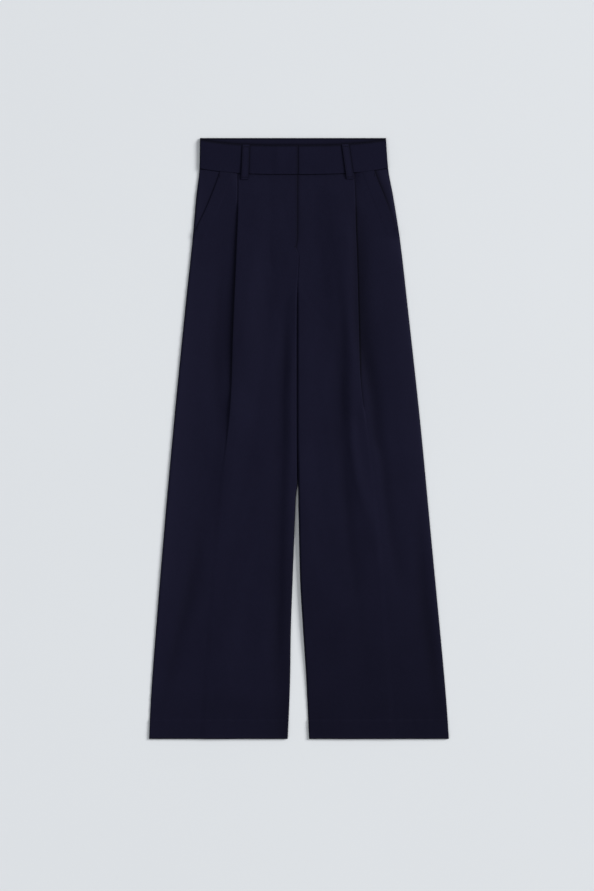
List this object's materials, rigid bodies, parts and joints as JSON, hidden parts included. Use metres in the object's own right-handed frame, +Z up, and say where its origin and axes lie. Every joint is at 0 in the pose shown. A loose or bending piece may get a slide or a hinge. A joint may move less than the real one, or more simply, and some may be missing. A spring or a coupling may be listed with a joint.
{
  "type": "wide-leg trousers",
  "caption": "Wide-leg trousers with a pleat in each front, slanted pockets and a waistband with belt loops, laid flat on their back.",
  "frame": {"origin": "middle of the underside, on the surface that the trousers lie on", "axes": "+Y from the hems to the waist, +Z up from the surface through the back and then the front, +X towards the wearer's left"},
  "size_m": [0.54, 1.0822, 0.0102],
  "materials": {
    "suiting": "matte woven navy",
    "waistband": "matte woven navy, interfaced"
  },
  "bodies": {
    "root": {"back_leg_right": "suiting", "back_leg_left": "suiting", "pocket_hip_right": "suiting", "pocket_hip_left": "suiting", "front_leg_right": "suiting", "front_leg_left": "suiting", "waistband_front_right": "waistband", "waistband_front_left": "waistband", "waistband_back": "waistband", "belt_loop_front_right": "waistband", "belt_loop_front_left": "waistband", "belt_loop_back_right": "waistband", "belt_loop_back_centre": "waistband", "belt_loop_back_left": "waistband"}
  },
  "joints": []
}
